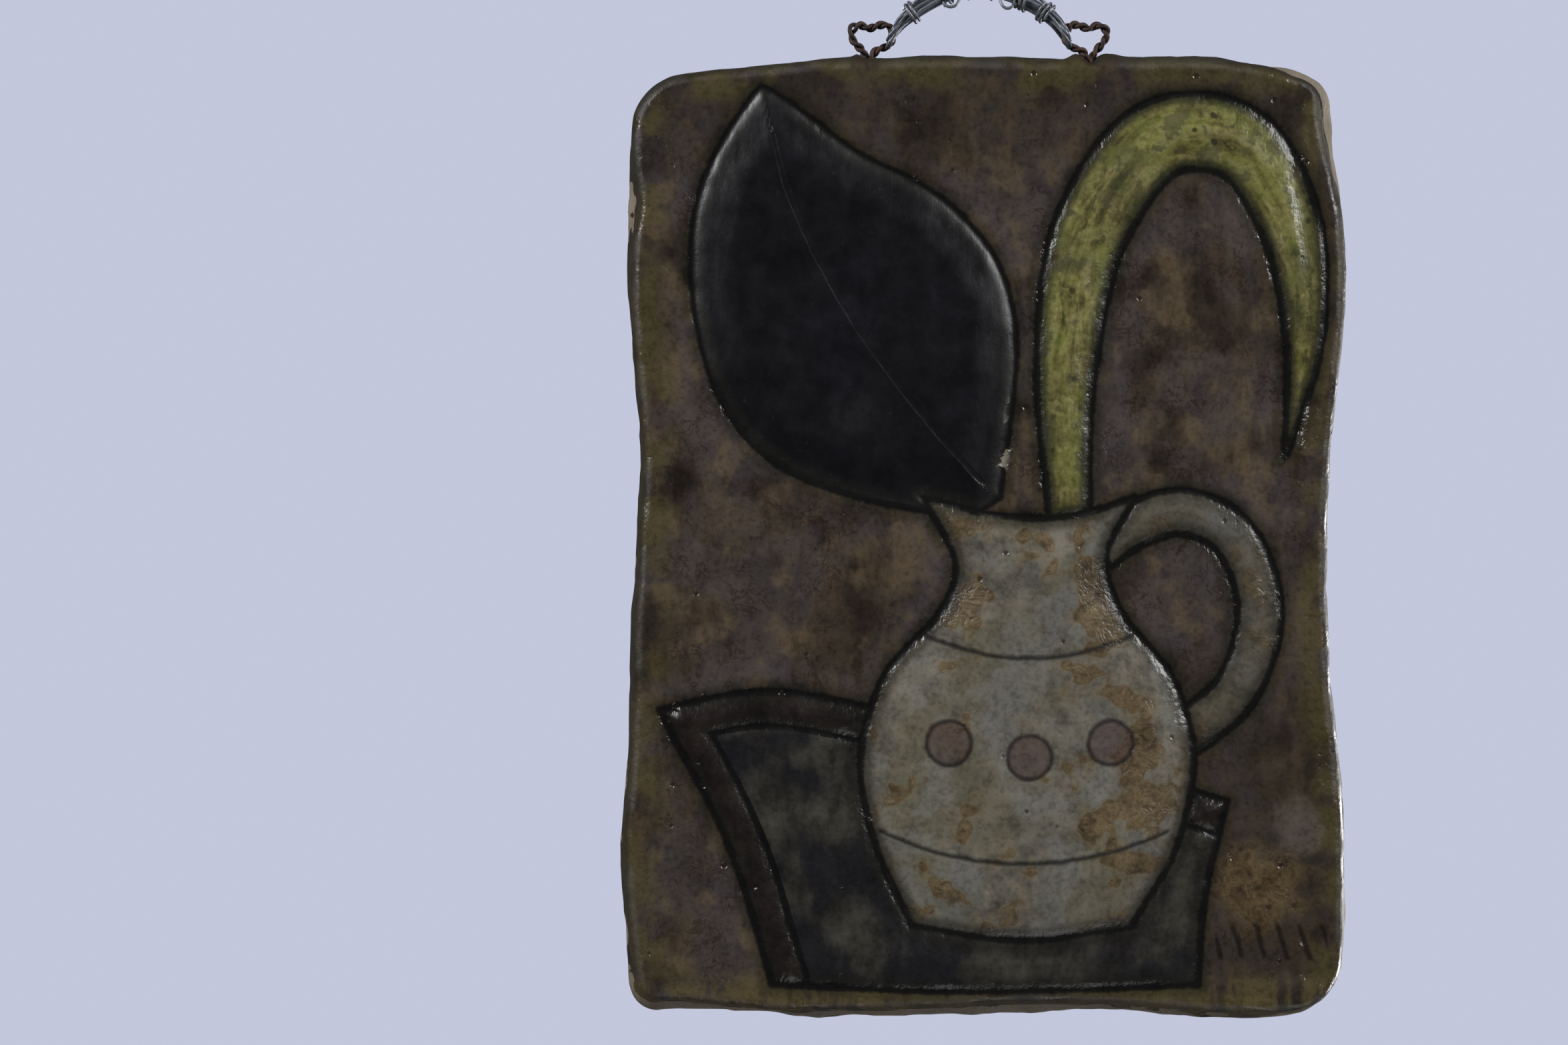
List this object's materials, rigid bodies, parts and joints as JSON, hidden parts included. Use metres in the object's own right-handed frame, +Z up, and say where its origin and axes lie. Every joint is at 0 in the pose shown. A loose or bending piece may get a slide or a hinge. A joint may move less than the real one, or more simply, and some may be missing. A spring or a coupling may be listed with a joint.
{
  "type": "ceramic wall plaque",
  "caption": "Rectangular glazed ceramic wall plaque with a raised and incised still life, hung by a bound wire handle from two twisted wire eyelets.",
  "frame": {"origin": "underside of the wire handle's crown at mid-width and mid-depth, where the nail it hangs on bears", "axes": "+Z up, +X to the viewer's right, +Y into the wall: the relief faces -Y and the flat back faces +Y"},
  "size_m": [0.1995, 0.0162, 0.2861],
  "materials": {
    "glazed_clay": "glossy mottled glaze over a brown clay body",
    "rusted_iron": "matt rust on twisted iron wire",
    "steel_wire": "dull zinc-grey binding wire"
  },
  "bodies": {
    "root": {"ceramic_plaque": "glazed_clay", "left_eyelet": "rusted_iron", "right_eyelet": "rusted_iron", "wire_handle": "steel_wire"}
  },
  "joints": []
}
